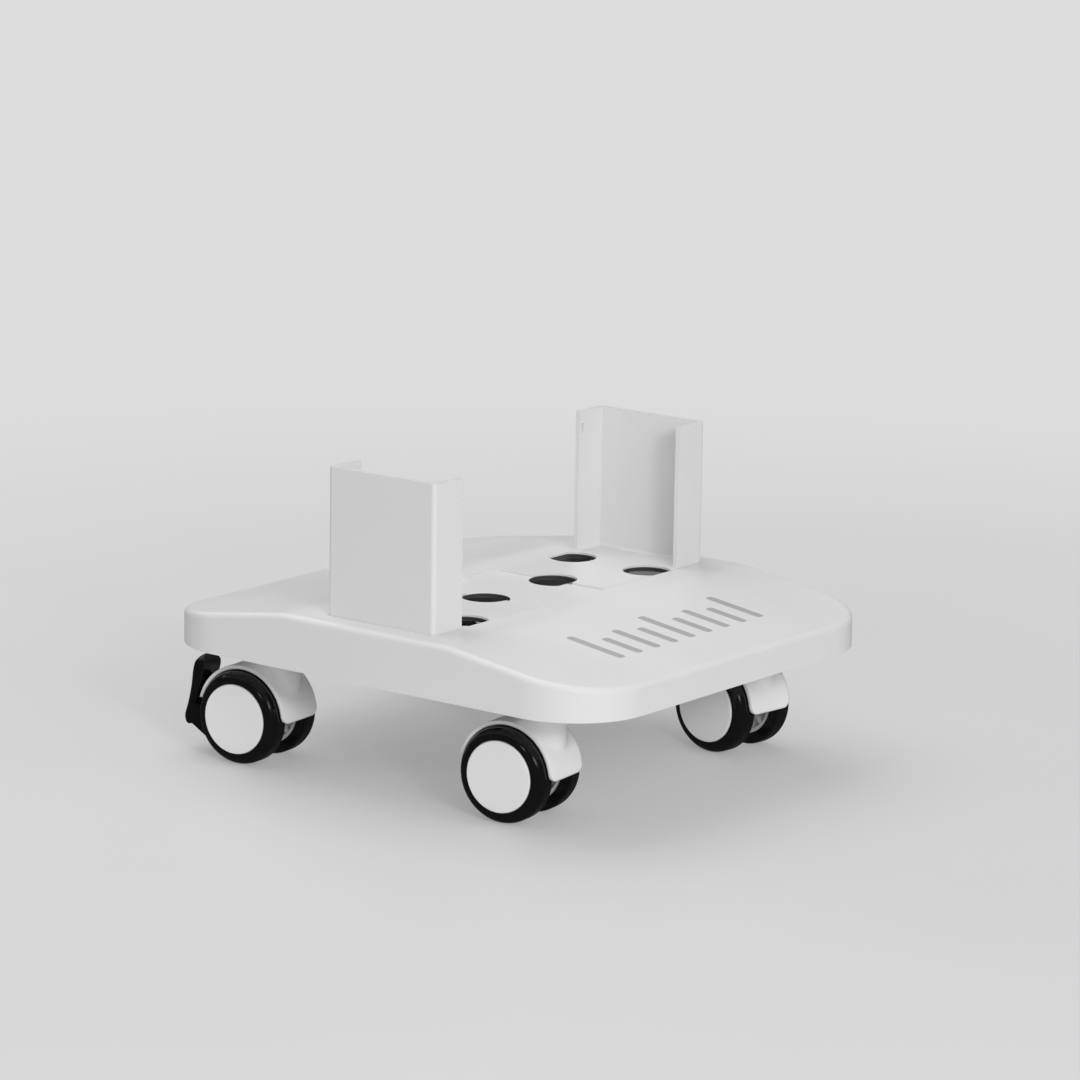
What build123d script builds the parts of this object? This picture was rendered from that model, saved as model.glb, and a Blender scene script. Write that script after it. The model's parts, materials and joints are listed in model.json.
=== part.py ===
from build123d import *
import math
import os

# A rolling stand for a computer tower, in millimetres.
# X runs across the stand from the left bracket to the right one, Y from the front edge to the back edge,
# and Z is up. The origin is on the floor under the middle of the board.

# Board: a moulded shell, open underneath, with a flat middle and a ramp at each end.
BOARD_WIDTH = 260.0
BOARD_LENGTH = 290.0
BOARD_CORNER = 43.0
BOARD_BOTTOM = 63.0
BOARD_TOP = 92.0
RAMP_END_TOP = 79.0
FLAT_LENGTH = 108.0
BEND_RADIUS = 60.0
RIM_RADIUS = 3.0
BOARD_WALL = 3.0
RIB_THICKNESS = 2.0
RIB_BOTTOM = BOARD_BOTTOM + 9.0
RIB_Y = (-112.0, -42.0, 42.0, 112.0)
RIB_X = (-92.0, -38.0, 38.0, 92.0)

# Track for the bracket feet, sunk into the flat middle.
TRACK_FLOOR = BOARD_TOP - 1.0
TRACK_HALF_LENGTH = 116.2
TRACK_HALF_WIDTH = 35.2
FLOOR_THICKNESS = 3.0
HOLE_RADIUS = 13.0
HOLE_RELIEF_RADIUS = 16.0
HOLE_RELIEF_TOP = TRACK_FLOOR - 0.7
MIDDLE_HOLE_X = 29.0
CORNER_HOLE_X = 79.0
CORNER_HOLE_Y = 25.0

# Brackets: upright channels that face each other, each on a flat foot.
BRACKET_OUTSIDE = 116.0
BRACKET_HALF_WIDTH = 35.0
BRACKET_TOP = BOARD_TOP + 78.0
BRACKET_WALL = 2.6
BRACKET_CORNER = 2.4
FLANGE_DEPTH = 23.0
FOOT_END = 29.0
FOOT_THICKNESS = 1.0
FOOT_CLEARANCE = 0.1
FOOT_FILLET = 2.0
CORD_SLOT_WIDTH = 2.2
CORD_SLOT_LENGTH = 5.4
CORD_SLOT_INSET = 20.5
CORD_SLOT_MIDDLE = BRACKET_TOP - 9.5
SLIDE_TRAVEL = 26.0

# Clamp under each foot: a knob with a screw that pulls the foot down on the track floor.
CLAMP_X = 82.0
GUIDE_RADIUS = 4.5
GUIDE_BOTTOM = TRACK_FLOOR - 2.7
SLOT_HALF_WIDTH = 4.8
INSERT_RADIUS = 3.0
INSERT_TOP = TRACK_FLOOR + 0.2
SCREW_RADIUS = 2.0
SCREW_BOTTOM = BOARD_BOTTOM + 8.0
SCREW_TOP = INSERT_TOP - 0.4
WASHER_RADIUS = 9.0
WASHER_TOP = TRACK_FLOOR - FLOOR_THICKNESS - 0.1
WASHER_THICKNESS = 1.4
KNOB_RADIUS = 13.0
KNOB_BOTTOM = BOARD_BOTTOM + 6.0
KNOB_HEIGHT = 9.0
KNOB_COLLAR_RADIUS = 6.5
KNOB_LOBES = 6
KNOB_LOBE_RADIUS = 3.4

# Casters: twin wheels under a hood that swivels on a stem in the board. The wheels trail behind the stem.
# Seen from above, the two casters of each side stand turned the same way, outwards from straight ahead.
STEM_X = 91.0
STEM_Y = 88.4
TRAIL = 14.5
FRONT_TURN = 6.5
BACK_TURN = 5.5
WHEEL_RADIUS = 25.0
WHEEL_INSIDE = 9.0
WHEEL_OUTSIDE = 21.2
RUNNING_CLEARANCE = 0.05
PRESS_CLEARANCE = 0.02

HOOD_RADIUS = 27.8
HOOD_WALL = 2.0
HOOD_HALF_WIDTH = 15.1
HOOD_STEM_SIDE_BOTTOM = -0.4
HOOD_REAR_BOTTOM = 7.0
HOOD_CORNER = 4.5
WEB_HALF_WIDTH = 5.0
NECK_RADIUS = 11.0
NECK_BLEND = 8.0
NECK_TOP = BOARD_BOTTOM - 4.2

SOCKET_RADIUS = 7.0
SOCKET_TOP = BOARD_BOTTOM + 18.0
SOCKET_FLANGE_RADIUS = 10.5
SOCKET_BOTTOM = BOARD_BOTTOM - 1.8
BOSS_RADIUS = 12.5
STEM_RADIUS = 5.0
STEM_TOP = SOCKET_TOP - 1.0
STEM_FLANGE_RADIUS = 9.5
STEM_FLANGE_BOTTOM = BOARD_BOTTOM - 4.0
STEM_FLANGE_TOP = BOARD_BOTTOM - 2.0
PINTLE_RADIUS = 3.5
PINTLE_BOTTOM = 38.0
GRIP_RING_Z = BOARD_BOTTOM + 12.0
GRIP_RING_HEIGHT = 2.0
GRIP_GROOVE_RADIUS = 4.0
GRIP_RING_GAP = 1.5
CLIP_HEIGHT = 0.8
CLIP_GROOVE_RADIUS = 2.8
CLIP_RADIUS = 4.6
CLIP_GAP = 3.0

AXLE_RADIUS = 3.0
AXLE_HALF_LENGTH = 18.2
TYRE_INNER_RADIUS = 19.0
TYRE_EDGE_RADIUS = 1.5
TREAD_OUTSIDE = 15.5
SHOULDER_RADIUS = 5.9
HUB_RADIUS = 7.5
HUB_INSIDE = 5.6
HUB_OUTSIDE = 16.6
CORE_RIM_RADIUS = 17.0
CORE_DISC_FROM = 13.0
CORE_DISC_TO = 15.0
CORE_RIM_OUTSIDE = 19.4
HUB_RIBS = 8
CAP_RADIUS = 18.65
CAP_THICKNESS = 1.8
CAP_EDGE = 0.35
CAP_OUTSIDE = 21.9
CAP_SKIRT_RADIUS = 16.8
CAP_SKIRT_WALL = 1.2

# Brake lever on each back caster, measured from the wheel axle.
LEVER_PIN_Y = 17.0
LEVER_PIN_Z = 14.0
LEVER_PIN_RADIUS = 1.5
LEVER_TONGUE_HALF = 2.0
LEVER_SLOT_HALF = 2.2
LEVER_HALF_WIDTH = 8.0
LEVER_TOP = 27.0
LEVER_CORNER = 6.0
LEVER_EDGE = 0.6
SHOE_HALF_WIDTH = 12.0
SHOE_RADIUS = 27.6

CASTERS = {
    "front_left": (-STEM_X, -STEM_Y, FRONT_TURN),
    "front_right": (STEM_X, -STEM_Y, -FRONT_TURN),
    "back_left": (-STEM_X, STEM_Y, BACK_TURN),
    "back_right": (STEM_X, STEM_Y, -BACK_TURN),
}
BRAKED = ("back_left", "back_right")
BRACKETS = {"left": -1, "right": 1}
WHEELS = {"left": -1, "right": 1}


def tube(outer, inner, bottom, top):
    """An upright ring from bottom to top, or a plain rod when inner is 0."""
    height = top - bottom
    ring = Cylinder(outer, height)
    if inner:
        ring -= Cylinder(inner, height + 2)
    return Pos(0, 0, (bottom + top) / 2) * ring


def block(x_range, y_range, z_range):
    """A box between two corners."""
    size = [high - low for low, high in (x_range, y_range, z_range)]
    middle = [(high + low) / 2 for low, high in (x_range, y_range, z_range)]
    return Pos(*middle) * Box(*size)


def turned(points):
    """A part turned about the X axis from its half section of (x, radius) points."""
    return revolve(make_face(Polyline(*points, close=True)), Axis.X)


def across(points, half_width, x_middle=0.0):
    """A prism along X from an outline of (y, z) points."""
    face = Plane.YZ * make_face(Polyline(*points, close=True))
    return Pos(x_middle, 0, 0) * extrude(face, half_width, both=True)


def write(name, solids):
    """Writes one node, which is a single solid or a group of equal ones."""
    if not isinstance(solids, list):
        solids = [solids]
    pieces = [solid for item in solids for solid in item.solids()]
    shape = pieces[0] if len(pieces) == 1 else Compound(children=pieces)
    shape.label = name
    export_step(shape, f"parts/{name}.step")


def humped_block(inset, bottom):
    """The board's outer form, drawn in by an inset on the sides and the top."""
    half_length = BOARD_LENGTH / 2 - inset
    half_flat = FLAT_LENGTH / 2
    slope = (BOARD_TOP - RAMP_END_TOP) / (BOARD_LENGTH / 2 - half_flat)
    top = BOARD_TOP - inset
    end_top = top - slope * (half_length - half_flat)
    outline = [
        (-half_length, bottom),
        (-half_length, end_top),
        (-half_flat, top),
        (half_flat, top),
        (half_length, end_top),
        (half_length, bottom),
    ]
    hump = across(outline, BOARD_WIDTH / 2 - inset)
    bends = [edge for edge in hump.edges() if edge.center().Z > top - 0.1 and abs(edge.center().X) < 1]
    hump = fillet(bends, BEND_RADIUS)
    plan = RectangleRounded(BOARD_WIDTH - 2 * inset, BOARD_LENGTH - 2 * inset, BOARD_CORNER - inset)
    return hump & Pos(0, 0, bottom) * extrude(plan, BOARD_TOP - bottom + 1)


def soft_rim(board):
    """Rounds the edge where the top meets the sides."""
    sides = [face for face in board.faces() if abs(face.normal_at().Z) < 0.2]
    tops = [face for face in board.faces() if face.normal_at().Z > 0.8]
    side_edges = [edge for face in sides for edge in face.edges()]
    top_edges = [edge for face in tops for edge in face.edges()]
    rim = [edge for edge in top_edges if any(edge.is_same(other) for other in side_edges)]
    return fillet(rim, RIM_RADIUS)


def track_space(bottom, top):
    return block(
        (-TRACK_HALF_LENGTH, TRACK_HALF_LENGTH),
        (-TRACK_HALF_WIDTH, TRACK_HALF_WIDTH),
        (bottom, top),
    )


def vent_holes(radius, bottom, top):
    """The six round vents: two on the centre line and four near the track's corners."""
    places = [(sign * MIDDLE_HOLE_X, 0) for sign in (-1, 1)]
    places += [(sx * CORNER_HOLE_X, sy * CORNER_HOLE_Y) for sx in (-1, 1) for sy in (-1, 1)]
    return [Pos(x, y, 0) * tube(radius, 0, bottom, top) for x, y in places]


def clamp_slot(sign, bottom, top):
    """The slot that the foot's guide runs in, long enough for the bracket's travel."""
    length = SLIDE_TRAVEL + 2 * SLOT_HALF_WIDTH
    plan = SlotOverall(length, 2 * SLOT_HALF_WIDTH)
    middle = sign * (CLAMP_X - SLIDE_TRAVEL / 2)
    return Pos(middle, 0, bottom) * extrude(plan, top - bottom)


def across_rib(middle):
    return (middle - RIB_THICKNESS / 2, middle + RIB_THICKNESS / 2)


def make_board():
    outer = humped_block(0, BOARD_BOTTOM)
    inner = humped_block(BOARD_WALL, BOARD_BOTTOM - 5)
    room = TRACK_FLOOR - FLOOR_THICKNESS
    floor_pad = block(
        (-TRACK_HALF_LENGTH - BOARD_WALL, TRACK_HALF_LENGTH + BOARD_WALL),
        (-TRACK_HALF_WIDTH - BOARD_WALL, TRACK_HALF_WIDTH + BOARD_WALL),
        (room, BOARD_TOP - 1),
    )
    inside = [floor_pad]
    for x, y, _ in CASTERS.values():
        inside.append(Pos(x, y, 0) * tube(BOSS_RADIUS, 0, BOARD_BOTTOM, BOARD_TOP))
    rib_height = (RIB_BOTTOM, BOARD_TOP)
    side_end = BOARD_WIDTH / 2 - BOARD_WALL / 2
    for y in RIB_Y:
        inside.append(block((-side_end, side_end), across_rib(y), rib_height))
    for x in RIB_X:
        for sign in (-1, 1):
            ends = sorted((sign * RIB_Y[2], sign * (BOARD_LENGTH / 2 - BOARD_WALL / 2)))
            inside.append(block(across_rib(x), ends, rib_height))
    filling = inside[0].fuse(*inside[1:]) & humped_block(BOARD_WALL / 2, BOARD_BOTTOM)
    board = (soft_rim(outer) - inner) + filling
    board -= track_space(TRACK_FLOOR, BOARD_TOP + 5)
    for hole in vent_holes(HOLE_RADIUS, BOARD_BOTTOM, BOARD_TOP + 5):
        board -= hole & track_space(BOARD_BOTTOM, BOARD_TOP + 5)
    for relief in vent_holes(HOLE_RELIEF_RADIUS, BOARD_BOTTOM, HOLE_RELIEF_TOP):
        board -= relief & track_space(BOARD_BOTTOM, HOLE_RELIEF_TOP)
    for sign in BRACKETS.values():
        board -= clamp_slot(sign, BOARD_BOTTOM, BOARD_TOP)
    for x, y, _ in CASTERS.values():
        bore = tube(SOCKET_RADIUS + PRESS_CLEARANCE, 0, BOARD_BOTTOM - 1, SOCKET_TOP + PRESS_CLEARANCE)
        board -= Pos(x, y, 0) * bore
    return board


def make_bracket(sign):
    """One channel and its foot. It is drawn on the right side and mirrored for the left."""
    foot_bottom = TRACK_FLOOR + FOOT_CLEARANCE
    foot_top = foot_bottom + FOOT_THICKNESS
    free_edge = BRACKET_OUTSIDE - FLANGE_DEPTH
    foot = block(
        (FOOT_END, BRACKET_OUTSIDE),
        (-BRACKET_HALF_WIDTH, BRACKET_HALF_WIDTH),
        (foot_bottom, foot_top),
    )
    channel = block(
        (free_edge, BRACKET_OUTSIDE),
        (-BRACKET_HALF_WIDTH, BRACKET_HALF_WIDTH),
        (foot_bottom, BRACKET_TOP),
    )
    bracket = foot + channel
    corners = [
        edge
        for edge in bracket.edges().filter_by(Axis.Z)
        if edge.center().X > BRACKET_OUTSIDE - 0.1
    ]
    bracket = fillet(corners, BRACKET_CORNER)
    inside = block(
        (free_edge - 1, BRACKET_OUTSIDE - BRACKET_WALL),
        (-BRACKET_HALF_WIDTH + BRACKET_WALL, BRACKET_HALF_WIDTH - BRACKET_WALL),
        (foot_top, BRACKET_TOP + 1),
    )
    bottom_edges = [
        edge
        for edge in inside.edges()
        if edge.center().Z < foot_top + 0.1 and edge.center().X > free_edge
    ]
    bracket -= fillet(bottom_edges, FOOT_FILLET)
    for hole in vent_holes(HOLE_RADIUS, foot_bottom - 1, foot_top + 1):
        bracket -= hole
    slot_outline = SlotOverall(CORD_SLOT_LENGTH, CORD_SLOT_WIDTH, rotation=90)
    cord_slot = extrude(slot_outline, BRACKET_WALL, both=True)
    slot_x = BRACKET_OUTSIDE - CORD_SLOT_INSET
    slot_y = BRACKET_HALF_WIDTH - BRACKET_WALL / 2
    bracket -= Pos(slot_x, slot_y, CORD_SLOT_MIDDLE) * Rot(90, 0, 0) * cord_slot
    guide = Pos(CLAMP_X, 0, 0) * tube(GUIDE_RADIUS, 0, GUIDE_BOTTOM, foot_top - 0.5)
    bore = tube(INSERT_RADIUS + PRESS_CLEARANCE, 0, GUIDE_BOTTOM - 1, INSERT_TOP + PRESS_CLEARANCE)
    bracket = bracket + guide - Pos(CLAMP_X, 0, 0) * bore
    return bracket if sign > 0 else mirror(bracket, Plane.YZ)


def make_insert(sign):
    bore = SCREW_RADIUS + RUNNING_CLEARANCE
    return Pos(sign * CLAMP_X, 0, 0) * tube(INSERT_RADIUS, bore, GUIDE_BOTTOM, INSERT_TOP)


def make_washer(sign):
    bore = SCREW_RADIUS + 0.3
    return Pos(sign * CLAMP_X, 0, 0) * tube(WASHER_RADIUS, bore, WASHER_TOP - WASHER_THICKNESS, WASHER_TOP)


def make_clamp_screw(sign):
    return Pos(sign * CLAMP_X, 0, 0) * tube(SCREW_RADIUS, 0, SCREW_BOTTOM, SCREW_TOP)


def make_knob(sign):
    knob_top = KNOB_BOTTOM + KNOB_HEIGHT
    knob = tube(KNOB_RADIUS, 0, KNOB_BOTTOM, knob_top)
    for index in range(KNOB_LOBES):
        angle = 360 / KNOB_LOBES * index
        scallop = tube(KNOB_LOBE_RADIUS, 0, KNOB_BOTTOM - 1, knob_top + 1)
        knob -= Rot(0, 0, angle) * Pos(KNOB_RADIUS + 1, 0, 0) * scallop
    knob = fillet(knob.edges().group_by(Axis.Z)[0], 1.2)
    collar_top = WASHER_TOP - WASHER_THICKNESS - 0.1
    knob += tube(KNOB_COLLAR_RADIUS, 0, knob_top - 1, collar_top)
    knob -= tube(SCREW_RADIUS + PRESS_CLEARANCE, 0, SCREW_BOTTOM - PRESS_CLEARANCE, collar_top + 1)
    return Pos(sign * CLAMP_X, 0, 0) * knob


def make_socket():
    """The nylon bush pressed up into the board for one stem."""
    bore = STEM_RADIUS + RUNNING_CLEARANCE
    sleeve = tube(SOCKET_RADIUS, 0, SOCKET_BOTTOM, SOCKET_TOP)
    flange = tube(SOCKET_FLANGE_RADIUS, 0, SOCKET_BOTTOM, BOARD_BOTTOM - PRESS_CLEARANCE)
    return sleeve + flange - tube(bore, 0, SOCKET_BOTTOM - 1, STEM_TOP + 0.1)


def make_stem():
    """The steel stem: its top is held in the bush and the hood swivels on its lower pin."""
    stem = tube(STEM_RADIUS, 0, STEM_FLANGE_TOP - 0.5, STEM_TOP)
    stem = chamfer(stem.edges().group_by(Axis.Z)[-1], 1.2)
    stem += tube(STEM_FLANGE_RADIUS, 0, STEM_FLANGE_BOTTOM, STEM_FLANGE_TOP)
    stem += tube(PINTLE_RADIUS, 0, PINTLE_BOTTOM, STEM_FLANGE_BOTTOM + 0.5)
    ring_top = GRIP_RING_Z + GRIP_RING_HEIGHT
    stem -= tube(STEM_RADIUS + 1, GRIP_GROOVE_RADIUS, GRIP_RING_Z - 0.1, ring_top + 0.1)
    clip_bottom = PINTLE_BOTTOM + 1
    stem -= tube(PINTLE_RADIUS + 1, CLIP_GROOVE_RADIUS, clip_bottom - 0.05, clip_bottom + CLIP_HEIGHT + 0.05)
    return stem


def split_ring(outer, inner, bottom, top, gap):
    ring = tube(outer, inner, bottom, top)
    return ring - block((0, outer + 1), (-gap / 2, gap / 2), (bottom - 1, top + 1))


def make_grip_ring():
    top = GRIP_RING_Z + GRIP_RING_HEIGHT
    return split_ring(STEM_RADIUS, GRIP_GROOVE_RADIUS + 0.05, GRIP_RING_Z, top, GRIP_RING_GAP)


def make_stem_clip():
    bottom = PINTLE_BOTTOM + 1
    return split_ring(CLIP_RADIUS, CLIP_GROOVE_RADIUS + 0.05, bottom, bottom + CLIP_HEIGHT, CLIP_GAP)


def make_hood(braked):
    """The caster's moulded hood, drawn about the wheel axle, with the stem at y = -TRAIL."""
    neck = Pos(0, -TRAIL, 0) * tube(NECK_RADIUS, 0, 8.0, NECK_TOP - WHEEL_RADIUS)
    outside = Rot(0, 90, 0) * Cylinder(HOOD_RADIUS, 2 * HOOD_HALF_WIDTH) + neck
    neck_root = [edge for edge in outside.edges() if edge.geom_type == GeomType.BSPLINE]
    wheel_room = Rot(0, 90, 0) * Cylinder(HOOD_RADIUS - HOOD_WALL, 2 * HOOD_HALF_WIDTH + 2)
    shell = fillet(neck_root, NECK_BLEND) - wheel_room
    reach = HOOD_RADIUS + 10
    wide = (-HOOD_HALF_WIDTH - 1, HOOD_HALF_WIDTH + 1)
    shell -= block(wide, (-reach, 0), (-reach, HOOD_STEM_SIDE_BOTTOM))
    shell -= block(wide, (-1, reach), (-reach, HOOD_REAR_BOTTOM))
    lower_corners = [
        edge
        for edge in shell.edges()
        if abs(edge.center().Z - HOOD_STEM_SIDE_BOTTOM) < 0.1
        and abs(edge.center().X) > HOOD_HALF_WIDTH - 0.1
        and edge.center().Y < 0
    ]
    shell = fillet(lower_corners, HOOD_CORNER)
    web_disc = Rot(0, 90, 0) * Cylinder(HOOD_RADIUS - 0.5, 2 * WEB_HALF_WIDTH)
    web = web_disc - block(wide, (-reach, reach), (-reach, -8.0))
    web -= block(wide, (-reach, -TRAIL - 6), (-reach, HOOD_STEM_SIDE_BOTTOM))
    web -= block(wide, (LEVER_PIN_Y + 4.5, reach), (-reach, reach))
    web -= block(wide, (8.0, reach), (-reach, LEVER_PIN_Z - 6))
    hood = shell + web
    stem_bore = tube(PINTLE_RADIUS + RUNNING_CLEARANCE, 0, -reach, 2 * reach)
    clip_bottom = PINTLE_BOTTOM + 1 - WHEEL_RADIUS
    clip_room = tube(CLIP_RADIUS + 6, 0, -reach, clip_bottom + CLIP_HEIGHT + 0.1)
    hood -= Pos(0, -TRAIL, 0) * stem_bore
    hood -= (Pos(0, -TRAIL, 0) * clip_room) & block(wide, (-TRAIL - 12, -TRAIL + 6), (-reach, reach))
    hood -= Rot(0, 90, 0) * Cylinder(AXLE_RADIUS + PRESS_CLEARANCE, 3 * reach)
    if braked:
        lever_room = block(
            (-LEVER_SLOT_HALF, LEVER_SLOT_HALF),
            (LEVER_PIN_Y - 6, reach),
            (LEVER_PIN_Z - 9, LEVER_PIN_Z + 6),
        )
        hood -= lever_room
        pin_bore = Rot(0, 90, 0) * Cylinder(LEVER_PIN_RADIUS + PRESS_CLEARANCE, 2 * WEB_HALF_WIDTH + 2)
        hood -= Pos(0, LEVER_PIN_Y, LEVER_PIN_Z) * pin_bore
    return hood


def make_axle():
    return Rot(0, 90, 0) * Cylinder(AXLE_RADIUS, 2 * AXLE_HALF_LENGTH)


def make_axle_clips():
    """The two push-on washers that keep the wheels on the axle."""
    low = HUB_OUTSIDE + 0.1
    ring = turned([(low, AXLE_RADIUS + 0.02), (low, 6), (low + 0.8, 6), (low + 0.8, AXLE_RADIUS + 0.02)])
    return [ring, mirror(ring, Plane.YZ)]


def make_tyre():
    """The tyre's section has a flat tread and a long round shoulder on the outer side."""
    shoulder_width = WHEEL_OUTSIDE - TREAD_OUTSIDE
    shoulder_middle = WHEEL_RADIUS - SHOULDER_RADIUS
    face_radius = shoulder_middle + math.sqrt(SHOULDER_RADIUS**2 - shoulder_width**2)
    half_angle = math.asin(shoulder_width / SHOULDER_RADIUS) / 2
    edge_start = (WHEEL_INSIDE, WHEEL_RADIUS - TYRE_EDGE_RADIUS)
    edge_end = (WHEEL_INSIDE + TYRE_EDGE_RADIUS, WHEEL_RADIUS)
    inset = TYRE_EDGE_RADIUS * (1 - math.sin(math.radians(45)))
    edge_middle = (WHEEL_INSIDE + inset, WHEEL_RADIUS - inset)
    tread_end = (TREAD_OUTSIDE, WHEEL_RADIUS)
    shoulder_point = (
        TREAD_OUTSIDE + SHOULDER_RADIUS * math.sin(half_angle),
        shoulder_middle + SHOULDER_RADIUS * math.cos(half_angle),
    )
    outer_edge = (WHEEL_OUTSIDE, face_radius)
    outline = [
        Line((WHEEL_INSIDE, TYRE_INNER_RADIUS), edge_start),
        ThreePointArc(edge_start, edge_middle, edge_end),
        Line(edge_end, tread_end),
        ThreePointArc(tread_end, shoulder_point, outer_edge),
        Line(outer_edge, (WHEEL_OUTSIDE, TYRE_INNER_RADIUS)),
        Line((WHEEL_OUTSIDE, TYRE_INNER_RADIUS), (WHEEL_INSIDE, TYRE_INNER_RADIUS)),
    ]
    return revolve(make_face(outline), Axis.X)


def make_core():
    """The hub, its disc and rim, with ribs on the inner side."""
    bore = AXLE_RADIUS + RUNNING_CLEARANCE
    outside = TYRE_INNER_RADIUS - PRESS_CLEARANCE
    core = turned(
        [
            (HUB_INSIDE, bore),
            (HUB_INSIDE, HUB_RADIUS),
            (CORE_DISC_FROM, HUB_RADIUS),
            (CORE_DISC_FROM, CORE_RIM_RADIUS),
            (WHEEL_INSIDE + 0.6, CORE_RIM_RADIUS),
            (WHEEL_INSIDE + 0.6, outside),
            (CORE_RIM_OUTSIDE, outside),
            (CORE_RIM_OUTSIDE, CORE_RIM_RADIUS),
            (CORE_DISC_TO, CORE_RIM_RADIUS),
            (CORE_DISC_TO, HUB_RADIUS),
            (HUB_OUTSIDE, HUB_RADIUS),
            (HUB_OUTSIDE, bore),
        ]
    )
    rib_length = (HUB_RADIUS - 1, CORE_RIM_RADIUS + 1)
    rib = block((WHEEL_INSIDE + 1, CORE_DISC_FROM + 1), (-0.7, 0.7), rib_length)
    for index in range(HUB_RIBS):
        core += Rot(360 / HUB_RIBS * index, 0, 0) * rib
    return core


def make_cap():
    low = CAP_OUTSIDE - CAP_THICKNESS
    disc = turned(
        [
            (low, 0),
            (low, CAP_RADIUS),
            (CAP_OUTSIDE - CAP_EDGE, CAP_RADIUS),
            (CAP_OUTSIDE, CAP_RADIUS - CAP_EDGE),
            (CAP_OUTSIDE, 0),
        ]
    )
    skirt_inner = CAP_SKIRT_RADIUS - CAP_SKIRT_WALL
    skirt = turned(
        [
            (CORE_DISC_TO + 1, skirt_inner),
            (CORE_DISC_TO + 1, CAP_SKIRT_RADIUS),
            (low + 0.5, CAP_SKIRT_RADIUS),
            (low + 0.5, skirt_inner),
        ]
    )
    return disc + skirt


def make_lever():
    """The brake lever: a paddle behind the hood, a tongue to its pin and a bar that presses both tyres."""
    side_view = Spline(
        (33.4, LEVER_TOP),
        (36.2, 21.5),
        (37.5, 13.0),
        (38.6, 6.5),
        (41.0, -2.5),
        (42.0, -7.6),
        (40.4, -10.8),
        (37.0, -10.2),
        (35.0, -3.5),
        (33.4, 6.0),
        (31.6, 14.0),
        (29.9, 19.5),
        (30.6, 25.0),
        periodic=True,
    )
    paddle = extrude(Plane.YZ * make_face(side_view), LEVER_HALF_WIDTH, both=True)
    sides = [edge for edge in paddle.edges() if abs(edge.center().X) > LEVER_HALF_WIDTH - 0.1]
    paddle = fillet(sides, LEVER_EDGE)
    height = LEVER_TOP + 2 * LEVER_CORNER
    front_view = Plane.XZ * RectangleRounded(2 * LEVER_HALF_WIDTH, 2 * height, LEVER_CORNER)
    paddle &= Pos(0, 0, LEVER_TOP - height) * extrude(front_view, -60)
    tongue = across(
        [
            (LEVER_PIN_Y - 3.2, LEVER_PIN_Z - 3.2),
            (34.0, LEVER_PIN_Z - 5.0),
            (34.0, LEVER_PIN_Z + 2.0),
            (LEVER_PIN_Y - 3.2, LEVER_PIN_Z + 3.2),
        ],
        LEVER_TONGUE_HALF,
    )
    shoe = across([(24.0, -15.6), (35.6, -8.4), (35.0, 1.0), (24.0, 1.0)], SHOE_HALF_WIDTH)
    shoe -= Rot(0, 90, 0) * Cylinder(SHOE_RADIUS, 4 * SHOE_HALF_WIDTH)
    lever = paddle + tongue + shoe
    bore = Rot(0, 90, 0) * Cylinder(LEVER_PIN_RADIUS + RUNNING_CLEARANCE, 20)
    return lever - Pos(0, LEVER_PIN_Y, LEVER_PIN_Z) * bore


def make_lever_pin():
    pin = Rot(0, 90, 0) * Cylinder(LEVER_PIN_RADIUS, 2 * WEB_HALF_WIDTH)
    return Pos(0, LEVER_PIN_Y, LEVER_PIN_Z) * pin


os.makedirs("parts", exist_ok=True)

write("base_board", make_board())
stem_places = [Pos(x, y, 0) for x, y, _ in CASTERS.values()]
write("caster_sockets", [place * make_socket() for place in stem_places])
write("stem_grip_rings", [place * make_grip_ring() for place in stem_places])
write("stem_retaining_clips", [place * make_stem_clip() for place in stem_places])

for side, sign in BRACKETS.items():
    write(f"{side}_bracket", make_bracket(sign))
    write(f"{side}_threaded_insert", make_insert(sign))
    write(f"{side}_clamp_washer", make_washer(sign))
    write(f"{side}_clamp_screw", make_clamp_screw(sign))
    write(f"{side}_clamp_knob", make_knob(sign))

for corner, (x, y, caster_turn) in CASTERS.items():
    axle_place = Pos(x, y, 0) * Rot(0, 0, caster_turn) * Pos(0, TRAIL, WHEEL_RADIUS)
    write(f"stem_{corner}", Pos(x, y, 0) * make_stem())
    write(f"hood_{corner}", axle_place * make_hood(corner in BRAKED))
    write(f"axle_{corner}", axle_place * make_axle())
    write(f"axle_clips_{corner}", [axle_place * clip for clip in make_axle_clips()])
    for wheel, sign in WHEELS.items():
        turn = Rot(0, 0, 0) if sign > 0 else Rot(0, 0, 180)
        write(f"tyre_{corner}_{wheel}", axle_place * turn * make_tyre())
        write(f"wheel_core_{corner}_{wheel}", axle_place * turn * make_core())
        write(f"wheel_cap_{corner}_{wheel}", axle_place * turn * make_cap())
    if corner in BRAKED:
        write(f"brake_lever_{corner}", axle_place * make_lever())
        write(f"brake_pin_{corner}", axle_place * make_lever_pin())
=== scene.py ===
import json
import math

import bmesh
import bpy
from mathutils import Matrix, Vector

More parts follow.
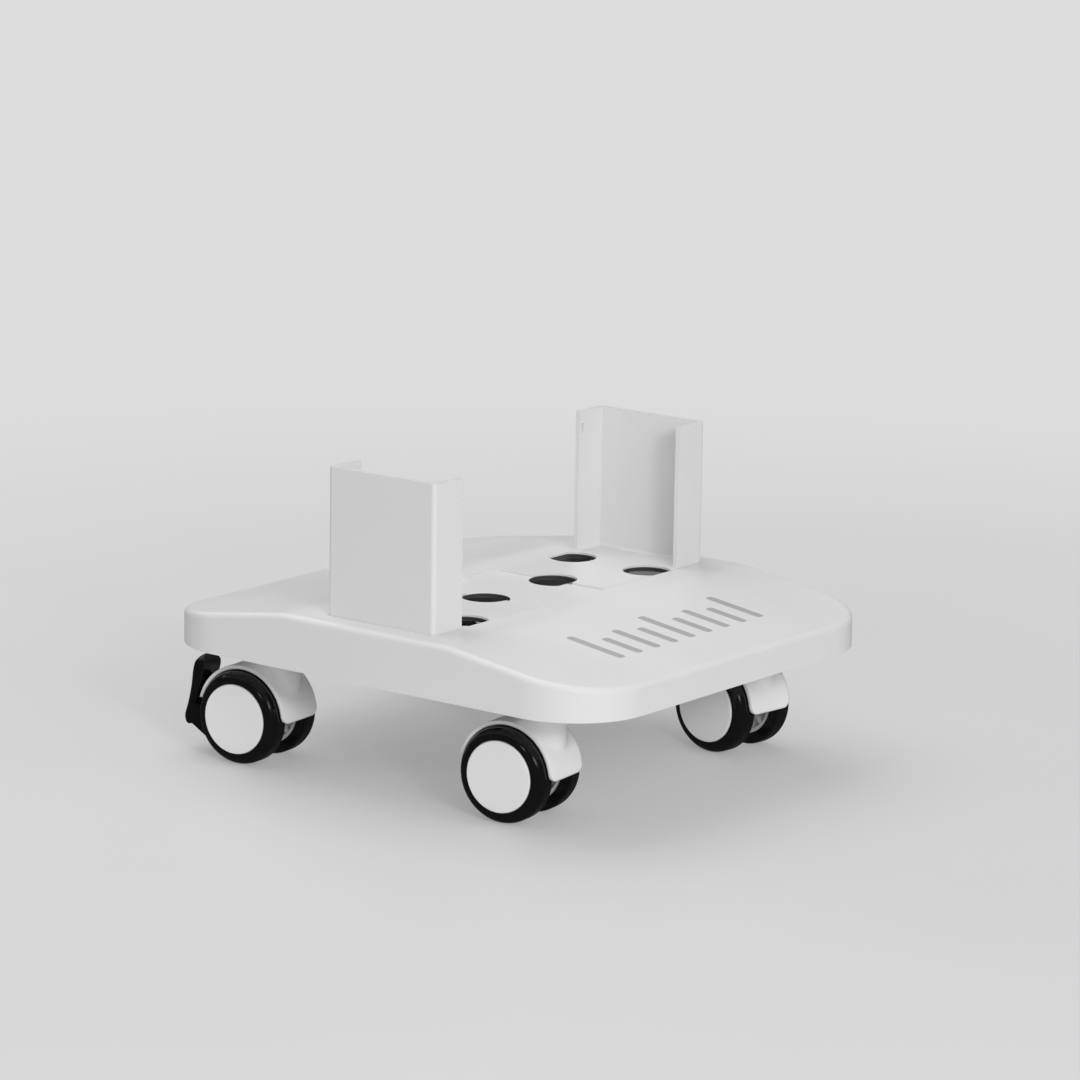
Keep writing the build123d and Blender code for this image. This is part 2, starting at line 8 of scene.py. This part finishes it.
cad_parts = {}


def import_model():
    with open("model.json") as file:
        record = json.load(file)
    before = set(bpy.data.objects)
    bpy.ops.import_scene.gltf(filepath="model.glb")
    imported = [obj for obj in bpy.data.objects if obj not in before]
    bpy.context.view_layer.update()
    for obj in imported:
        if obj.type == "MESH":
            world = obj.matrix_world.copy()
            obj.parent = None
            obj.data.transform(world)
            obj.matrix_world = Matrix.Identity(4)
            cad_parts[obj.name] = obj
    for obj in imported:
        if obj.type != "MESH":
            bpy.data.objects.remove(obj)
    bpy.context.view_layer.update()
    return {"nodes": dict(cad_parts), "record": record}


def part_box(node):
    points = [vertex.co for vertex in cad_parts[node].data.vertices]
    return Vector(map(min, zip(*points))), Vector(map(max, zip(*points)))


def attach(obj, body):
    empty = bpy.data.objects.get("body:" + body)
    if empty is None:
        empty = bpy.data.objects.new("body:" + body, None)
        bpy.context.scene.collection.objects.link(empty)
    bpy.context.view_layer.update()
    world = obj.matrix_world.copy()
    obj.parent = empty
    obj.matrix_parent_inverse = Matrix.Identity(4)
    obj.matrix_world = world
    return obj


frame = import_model()

MM = 0.001

# Painted shade: below this depth the board's colour is made much darker, as far out as this reach from the
# middle along X and Y, standing in for the shade under the track that shows through the vents.
PAINTED_SHADE_DEPTH = 0.00105
PAINTED_SHADE_REACH = (0.1165, 0.049)
UNDERSIDE_PAINTED_SHADE = 0.1

# How finely the surface marks repeat, as noise scales: from slow flow marks to the grain of the mould.
FLOW_SCALE = 14.0
FLOW_STRETCH = (1.0, 0.45, 1.0)
SMUDGE_SCALE = 22.0
SINK_SCALE = 30.0
RUBBED_PATCH_SCALE = 90.0
GRAIN_SCALE = 2600.0
TARNISH_SCALE = 60.0
DRAWN_STRETCH = (1.0, 1.0, 0.08)
FLOOR_CLOUD_SCALE = 3.0

# How strong and deep those marks are, and how much rougher smudges and tarnish make a surface.
GRAIN_STRENGTH = 0.25
SINK_STRENGTH = 0.15
SINK_DEPTH = 0.12 * MM
SCRATCH_STRENGTH = 0.2
SCRATCH_DEPTH = 0.02 * MM
SCRATCH_SHADE = 0.78
SMUDGE_ROUGHNESS = 0.10
TARNISH_ROUGHNESS = 0.15

# Sharp edges: the radius over which they are rubbed, and the samples that find and soften them.
RUBBED_RADIUS = 0.8 * MM
RUBBED_SAMPLES = 4
SOFT_SAMPLES = 6

# Nylon without pigment is a little warm.
WARM_TINT = (1.0, 0.99, 0.96)

# The printed bars stand on one line across the front ramp, which falls from the flat to the board's edge.
RAMP_START_Y = -0.054
RAMP_DROP = 0.013
BAR_COUNT = 9
BAR_WIDTH = 0.0055
BAR_HEIGHTS = (0.035, 0.024, 0.029, 0.024)
BAR_FOOT_Y = -0.114
BARS_HALF_SPAN = 0.0635
BAR_CORNER_RADIUS = 0.0018
CORNER_STEPS = 5
INK_GAP = 0.00001
INK_THICKNESS = 0.00005

# The camera. Azimuth and elevation say where it stands, and the lens is aimed above the middle of the board.
CAMERA_AZIMUTH = -52.48
CAMERA_ELEVATION = 12.16
CAMERA_ROLL = 0.94
CAMERA_DISTANCE = 2.4465
CAMERA_LENS = 156.6
SENSOR_WIDTH = 36.0
CLIP_START = 0.05
CLIP_END = 60.0
LOOKED_AT = (-0.0208, -0.0290, 0.1254)

# Light. The lens sees the backdrop, the sky lights matt surfaces, and glossy ones mirror the sky's gloss.
BACKDROP = 0.716
SKY_LIGHT = 0.39
SKY_GLOSS = 0.06
KEY_DIRECTION = (-0.50, -0.78, 0.37)
KEY_DISTANCE = 2.6
KEY_SIZE = 1.4
KEY_POWER = 20.0
GLINT_SIZE = 0.35
GLINT_POWER = 12.0
SIDE_DIRECTION = (-0.90, -0.20, 0.40)
SIDE_DISTANCE = 2.6
SIDE_SIZE = 0.3
SIDE_POWER = 1.0
TOP_DIRECTION = (0.1, 0.55, 1.0)
TOP_DISTANCE = 2.2
TOP_SIZE = 2.6
TOP_POWER = 28.5
LIT_HEIGHT = 0.08
FLOOR_TONE = 0.46
FLOOR_GLOW = 0.25
FLOOR_CLOUDING = 0.01
FLOOR_ROUGHNESS = 0.6
FLOOR_HALF_SIZE = 3.0
FLOOR_GRID = 8
FLOOR_FADE = (0.3, 1.1)


# ---------------------------------------------------------------- materials


class Nodes:
    """Short calls for building one node material."""

    def __init__(self, name):
        self.material = bpy.data.materials.new(name)
        self.material.use_nodes = True
        self.tree = self.material.node_tree
        self.tree.nodes.clear()
        self.output = self.add("ShaderNodeOutputMaterial")
        self.surface = self.add("ShaderNodeBsdfPrincipled")
        self.link(self.surface, "BSDF", self.output, "Surface")
        self.place = self.add("ShaderNodeTexCoord")

    def add(self, kind, **settings):
        node = self.tree.nodes.new(kind)
        for key, value in settings.items():
            setattr(node, key, value)
        return node

    def link(self, source, source_socket, target, target_socket):
        self.tree.links.new(source.outputs[source_socket], target.inputs[target_socket])

    def set(self, **values):
        for key, value in values.items():
            self.surface.inputs[key.replace("_", " ")].default_value = value

    def noise(self, scale, detail=3.0, roughness=0.5, stretch=None):
        """Noise in the object's own space, drawn out along an axis where its stretch is below one."""
        node = self.add("ShaderNodeTexNoise")
        node.inputs["Scale"].default_value = scale
        node.inputs["Detail"].default_value = detail
        node.inputs["Roughness"].default_value = roughness
        if stretch:
            mapping = self.add("ShaderNodeMapping")
            mapping.inputs["Scale"].default_value = stretch
            self.link(self.place, "Object", mapping, "Vector")
            self.link(mapping, "Vector", node, "Vector")
        else:
            self.link(self.place, "Object", node, "Vector")
        return node

    def ramp(self, source, source_socket, stops):
        """A colour ramp from (position, grey or colour) stops."""
        node = self.add("ShaderNodeValToRGB")
        elements = node.color_ramp.elements
        while len(elements) < len(stops):
            elements.new(0.5)
        for element, (position, value) in zip(elements, stops):
            element.position = position
            element.color = value if isinstance(value, tuple) else (value, value, value, 1.0)
        self.link(source, source_socket, node, "Fac")
        return node

    def bump(self, layers, softened=0.0):
        """Chains (node, socket, strength, distance) layers into the normal. Edges can be softened first."""
        last = None
        if softened:
            last = self.add("ShaderNodeBevel", samples=SOFT_SAMPLES)
            last.inputs["Radius"].default_value = softened
        for source, socket, strength, distance in layers:
            node = self.add("ShaderNodeBump")
            node.inputs["Strength"].default_value = strength
            node.inputs["Distance"].default_value = distance
            self.link(source, socket, node, "Height")
            if last:
                self.link(last, "Normal", node, "Normal")
            last = node
        self.link(last, "Normal", self.surface, "Normal")

    def edge_wear(self, radius):
        """White where the surface turns sharply, from the difference between two normals."""
        bevel = self.add("ShaderNodeBevel", samples=RUBBED_SAMPLES)
        bevel.inputs["Radius"].default_value = radius
        geometry = self.add("ShaderNodeNewGeometry")
        compare = self.add("ShaderNodeVectorMath", operation="DOT_PRODUCT")
        self.link(bevel, "Normal", compare, 0)
        self.link(geometry, "Normal", compare, 1)
        return self.ramp(compare, "Value", [(0.90, 1.0), (0.995, 0.0)])


def moulded_plastic(
    name, grey, roughness, grain=0.02, mottling=0.015, wear=0.03, tint=(1.0, 1.0, 1.0), softened=0.0
):
    """Injection-moulded plastic: fine grain, faint flow mottling, slight handling marks and rubbed edges.

    Grey and roughness are its look when new. The grain is the depth of the mould's texture in millimetres,
    and sharp edges look softened by a radius in metres.
    """
    n = Nodes(name)
    flow = n.noise(FLOW_SCALE, 4.0, 0.6, FLOW_STRETCH)

    def shade(value):
        return tuple(min(1.0, value * channel) for channel in tint) + (1.0,)

    darker = shade(grey * (1 - mottling))
    lighter = shade(grey * (1 + mottling))
    base = n.ramp(flow, "Fac", [(0.3, darker), (0.7, lighter)])
    worn = n.add("ShaderNodeMixRGB", blend_type="MIX")
    edges = n.edge_wear(RUBBED_RADIUS)
    amount = n.add("ShaderNodeMath", operation="MULTIPLY")
    patches = n.ramp(n.noise(RUBBED_PATCH_SCALE, 3.0), "Fac", [(0.45, 0.0), (0.65, 1.0)])
    n.link(edges, "Color", amount, 0)
    n.link(patches, "Color", amount, 1)
    n.link(amount, "Value", worn, "Fac")
    n.link(base, "Color", worn, "Color1")
    worn.inputs["Color2"].default_value = shade(grey + wear)
    n.link(worn, "Color", n.surface, "Base Color")
    handled = n.noise(SMUDGE_SCALE, 5.0, 0.65)
    smudge = n.ramp(handled, "Fac", [(0.35, roughness), (0.7, min(1.0, roughness + SMUDGE_ROUGHNESS))])
    n.link(smudge, "Color", n.surface, "Roughness")
    fine = n.noise(GRAIN_SCALE, 2.0, 0.6)
    sink = n.noise(SINK_SCALE, 2.0)
    layers = [(fine, "Fac", GRAIN_STRENGTH, grain * MM), (sink, "Fac", SINK_STRENGTH, SINK_DEPTH)]
    n.bump(layers, softened)
    return n


def board_plastic():
    """The board's plastic, with painted shade: much darker on the underside of the track, which shows
    through the vents.
    """
    n = moulded_plastic("board_plastic", grey=0.80, roughness=0.42, grain=0.03)
    n.set(Specular_IOR_Level=0.4)
    board_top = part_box("base_board")[1].z
    reach = n.add("ShaderNodeVectorMath", operation="ABSOLUTE")
    n.link(n.place, "Object", reach, 0)
    axes = n.add("ShaderNodeSeparateXYZ")
    n.link(reach, "Vector", axes, "Vector")
    last = None
    limits = {"X": PAINTED_SHADE_REACH[0], "Y": PAINTED_SHADE_REACH[1], "Z": board_top - PAINTED_SHADE_DEPTH}
    for axis, limit in limits.items():
        below = n.add("ShaderNodeMath", operation="LESS_THAN")
        n.link(axes, axis, below, 0)
        below.inputs[1].default_value = limit
        if last:
            both = n.add("ShaderNodeMath", operation="MULTIPLY")
            n.link(last, "Value", both, 0)
            n.link(below, "Value", both, 1)
            below = both
        last = below
    # Painted shade: the colour is multiplied down inside that box, where shade falls under the track.
    old = n.surface.inputs["Base Color"].links[0].from_node
    painted_shade = n.add("ShaderNodeMixRGB", blend_type="MULTIPLY")
    n.link(last, "Value", painted_shade, "Fac")
    n.link(old, "Color", painted_shade, "Color1")
    painted_shade.inputs["Color2"].default_value = (UNDERSIDE_PAINTED_SHADE,) * 3 + (1.0,)
    n.link(painted_shade, "Color", n.surface, "Base Color")
    return n.material


def bracket_plastic():
    n = moulded_plastic("bracket_plastic", grey=0.80, roughness=0.36, grain=0.02)
    n.set(Specular_IOR_Level=0.4)
    return n.material


def hood_plastic():
    n = moulded_plastic("hood_plastic", grey=0.91, roughness=0.2, grain=0.01, softened=0.0015)
    n.set(Specular_IOR_Level=0.45)
    return n.material


def cap_plastic():
    n = moulded_plastic("cap_plastic", grey=0.86, roughness=0.28, grain=0.012, softened=0.0008)
    n.set(Specular_IOR_Level=0.4)
    return n.material


def tyre_black():
    n = moulded_plastic("tyre_black", grey=0.006, roughness=0.10, grain=0.004, mottling=0.15, wear=0.005)
    n.set(Specular_IOR_Level=0.45)
    return n.material


def lever_plastic():
    n = moulded_plastic("lever_plastic", grey=0.006, roughness=0.3, grain=0.008, mottling=0.1, wear=0.006)
    n.set(Specular_IOR_Level=0.4)
    return n.material


def core_nylon():
    return moulded_plastic("core_nylon", grey=0.6, roughness=0.35, grain=0.03).material


def socket_nylon():
    n = moulded_plastic("socket_nylon", grey=0.62, roughness=0.45, grain=0.02, tint=WARM_TINT)
    n.set(Subsurface_Weight=0.1)
    return n.material


def knob_plastic():
    n = moulded_plastic("knob_plastic", grey=0.02, roughness=0.5, grain=0.08, mottling=0.1, wear=0.02)
    return n.material


def metal(name, colour, roughness, scratch_scale):
    """Drawn or turned metal: upright scratches that are a little darker than it, and patches of tarnish."""
    n = Nodes(name)
    n.set(Metallic=1.0)
    lines = n.noise(scratch_scale, 3.0, 0.6, DRAWN_STRETCH)
    tone = tuple(colour) + (1.0,)
    dark = tuple(channel * SCRATCH_SHADE for channel in colour) + (1.0,)
    base = n.ramp(lines, "Fac", [(0.3, dark), (0.7, tone)])
    n.link(base, "Color", n.surface, "Base Color")
    patches = n.noise(TARNISH_SCALE, 4.0)
    tarnish = n.ramp(patches, "Fac", [(0.3, roughness), (0.7, roughness + TARNISH_ROUGHNESS)])
    n.link(tarnish, "Color", n.surface, "Roughness")
    n.bump([(lines, "Fac", SCRATCH_STRENGTH, SCRATCH_DEPTH)])
    return n.material


def plated_steel():
    return metal("plated_steel", colour=(0.62, 0.63, 0.65), roughness=0.25, scratch_scale=900.0)


def spring_steel():
    return metal("spring_steel", colour=(0.20, 0.20, 0.22), roughness=0.35, scratch_scale=700.0)


def insert_brass():
    return metal("insert_brass", colour=(0.72, 0.55, 0.27), roughness=0.3, scratch_scale=800.0)


def printed_grey():
    """Pad-printed ink, matt and slightly uneven."""
    n = moulded_plastic("printed_grey", grey=0.46, roughness=0.5, grain=0.015, mottling=0.05, wear=0.0)
    return n.material


MAKERS = {
    "board_plastic": board_plastic,
    "bracket_plastic": bracket_plastic,
    "hood_plastic": hood_plastic,
    "cap_plastic": cap_plastic,
    "tyre_black": tyre_black,
    "core_nylon": core_nylon,
    "lever_plastic": lever_plastic,
    "knob_plastic": knob_plastic,
    "socket_nylon": socket_nylon,
    "plated_steel": plated_steel,
    "spring_steel": spring_steel,
    "insert_brass": insert_brass,
}
materials = {slot: maker() for slot, maker in MAKERS.items()}
for part in frame["record"]["subparts"]:
    cad_object = frame["nodes"][part["node"]]
    cad_object.data.materials.clear()
    cad_object.data.materials.append(materials[part["material_slot"]])

# ---------------------------------------------------------------- printed mark


def rounded_bar(left, right, foot, head):
    """The outline of an upright bar with round corners, anticlockwise from its lower right corner."""
    inset = BAR_CORNER_RADIUS
    centres = (
        (right - inset, foot + inset),
        (right - inset, head - inset),
        (left + inset, head - inset),
        (left + inset, foot + inset),
    )
    points = []
    for quarter, (x_centre, y_centre) in enumerate(centres, start=-1):
        for step in range(CORNER_STEPS + 1):
            angle = math.radians(90) * (quarter + step / CORNER_STEPS)
            points.append((x_centre + inset * math.cos(angle), y_centre + inset * math.sin(angle)))
    return points


def printed_bars():
    """A generic row of upright bars printed on the front ramp, as thin slabs of ink."""
    low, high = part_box("base_board")
    slope = RAMP_DROP / (RAMP_START_Y - low.y)
    pitch = (2 * BARS_HALF_SPAN - BAR_WIDTH) / (BAR_COUNT - 1)
    mesh = bmesh.new()

    def ring(outline, lift):
        return [mesh.verts.new((x, y, high.z + slope * (y - RAMP_START_Y) + lift)) for x, y in outline]

    for index in range(BAR_COUNT):
        left = -BARS_HALF_SPAN + index * pitch
        head = BAR_FOOT_Y + BAR_HEIGHTS[index % len(BAR_HEIGHTS)]
        outline = rounded_bar(left, left + BAR_WIDTH, BAR_FOOT_Y, head)
        lower = ring(outline, INK_GAP)
        upper = ring(outline, INK_GAP + INK_THICKNESS)
        mesh.faces.new(upper)
        mesh.faces.new(list(reversed(lower)))
        for i in range(len(outline)):
            j = (i + 1) % len(outline)
            mesh.faces.new((lower[i], lower[j], upper[j], upper[i]))
    data = bpy.data.meshes.new("printed_bars")
    mesh.to_mesh(data)
    mesh.free()
    piece = bpy.data.objects.new("printed_bars", data)
    bpy.context.scene.collection.objects.link(piece)
    data.materials.append(printed_grey())
    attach(piece, "board")


printed_bars()

# ---------------------------------------------------------------- floor, light and camera


def floor():
    """A pale table top, faintly lit from within, that fades into the backdrop away from the stand.

    Shiny surfaces see it dark, as they would with black card laid around the stand.
    """
    data = bpy.data.meshes.new("floor")
    mesh = bmesh.new()
    bmesh.ops.create_grid(mesh, x_segments=FLOOR_GRID, y_segments=FLOOR_GRID, size=FLOOR_HALF_SIZE)
    mesh.to_mesh(data)
    mesh.free()
    plane = bpy.data.objects.new("floor", data)
    bpy.context.scene.collection.objects.link(plane)
    n = Nodes("floor_paint")
    clouds = n.noise(FLOOR_CLOUD_SCALE, 3.0)
    tone = n.ramp(clouds, "Fac", [(0.3, FLOOR_TONE - FLOOR_CLOUDING), (0.7, FLOOR_TONE + FLOOR_CLOUDING)])
    n.link(tone, "Color", n.surface, "Base Color")
    n.set(Roughness=FLOOR_ROUGHNESS, Specular_IOR_Level=0.2, Emission_Strength=FLOOR_GLOW)
    n.surface.inputs["Emission Color"].default_value = (1, 1, 1, 1)
    distance = n.add("ShaderNodeVectorMath", operation="LENGTH")
    n.link(n.place, "Object", distance, 0)
    fade = n.add("ShaderNodeMapRange", interpolation_type="SMOOTHSTEP")
    n.link(distance, "Value", fade, "Value")
    fade.inputs["From Min"].default_value, fade.inputs["From Max"].default_value = FLOOR_FADE
    clear = n.add("ShaderNodeBsdfTransparent")
    blend = n.add("ShaderNodeMixShader")
    n.link(fade, "Result", blend, "Fac")
    n.link(n.surface, "BSDF", blend, 1)
    n.link(clear, "BSDF", blend, 2)
    path = n.add("ShaderNodeLightPath")
    dim = n.add("ShaderNodeEmission")
    dim.inputs["Strength"].default_value = SKY_GLOSS
    reflected = n.add("ShaderNodeMixShader")
    n.link(path, "Is Glossy Ray", reflected, "Fac")
    n.link(blend, "Shader", reflected, 1)
    n.link(dim, "Emission", reflected, 2)
    n.link(reflected, "Shader", n.output, "Surface")
    data.materials.append(n.material)


def world():
    """One even white sky, whose strength depends on what kind of ray meets it."""
    scene_world = bpy.data.worlds.new("studio")
    bpy.context.scene.world = scene_world
    scene_world.use_nodes = True
    scene_world.cycles.sampling_method = "NONE"
    tree = scene_world.node_tree
    tree.nodes.clear()
    output = tree.nodes.new("ShaderNodeOutputWorld")
    path = tree.nodes.new("ShaderNodeLightPath")

    def sky(strength):
        node = tree.nodes.new("ShaderNodeBackground")
        node.inputs["Color"].default_value = (1, 1, 1, 1)
        node.inputs["Strength"].default_value = strength
        return node.outputs["Background"]

    def choose(ray_kind, otherwise, chosen):
        node = tree.nodes.new("ShaderNodeMixShader")
        tree.links.new(path.outputs[ray_kind], node.inputs["Fac"])
        tree.links.new(otherwise, node.inputs[1])
        tree.links.new(chosen, node.inputs[2])
        return node.outputs["Shader"]

    shine = choose("Is Glossy Ray", sky(SKY_LIGHT), sky(SKY_GLOSS))
    seen = choose("Is Camera Ray", shine, sky(BACKDROP))
    tree.links.new(seen, output.inputs["Surface"])


def softbox(name, direction, distance, size, power, mirrored=True):
    """A square area light that faces the stand from a direction. Unless mirrored, it leaves no highlight."""
    light = bpy.data.lights.new(name, "AREA")
    light.shape = "SQUARE"
    light.size = size
    light.energy = power
    lamp = bpy.data.objects.new(name, light)
    bpy.context.scene.collection.objects.link(lamp)
    lamp.visible_camera = False
    lamp.visible_glossy = mirrored
    away = Vector(direction).normalized()
    lamp.location = Vector((0, 0, LIT_HEIGHT)) + away * distance
    lamp.rotation_mode = "QUATERNION"
    lamp.rotation_quaternion = (-away).to_track_quat("-Z", "Y")


def camera():
    """The camera stands on a line from the aimed-at point, and is rolled a little."""
    lens = bpy.data.cameras.new("camera")
    lens.lens = CAMERA_LENS
    lens.sensor_width = SENSOR_WIDTH
    lens.clip_start = CLIP_START
    lens.clip_end = CLIP_END
    body = bpy.data.objects.new("camera", lens)
    bpy.context.scene.collection.objects.link(body)
    azimuth = math.radians(CAMERA_AZIMUTH)
    elevation = math.radians(CAMERA_ELEVATION)
    level = math.cos(elevation)
    back = Vector((math.sin(azimuth) * level, -math.cos(azimuth) * level, math.sin(elevation)))
    body.location = Vector(LOOKED_AT) + back * CAMERA_DISTANCE
    upright = (-back).to_track_quat("-Z", "Y").to_matrix()
    roll = Matrix.Rotation(math.radians(CAMERA_ROLL), 3, "Z")
    body.rotation_mode = "QUATERNION"
    body.rotation_quaternion = (upright @ roll).to_quaternion()
    bpy.context.scene.camera = body


floor()
world()
softbox("key", KEY_DIRECTION, KEY_DISTANCE, KEY_SIZE, KEY_POWER, mirrored=False)
softbox("glint", KEY_DIRECTION, KEY_DISTANCE, GLINT_SIZE, GLINT_POWER)
softbox("side", SIDE_DIRECTION, SIDE_DISTANCE, SIDE_SIZE, SIDE_POWER)
softbox("top", TOP_DIRECTION, TOP_DISTANCE, TOP_SIZE, TOP_POWER)
camera()
bpy.context.scene.view_settings.view_transform = "Standard"
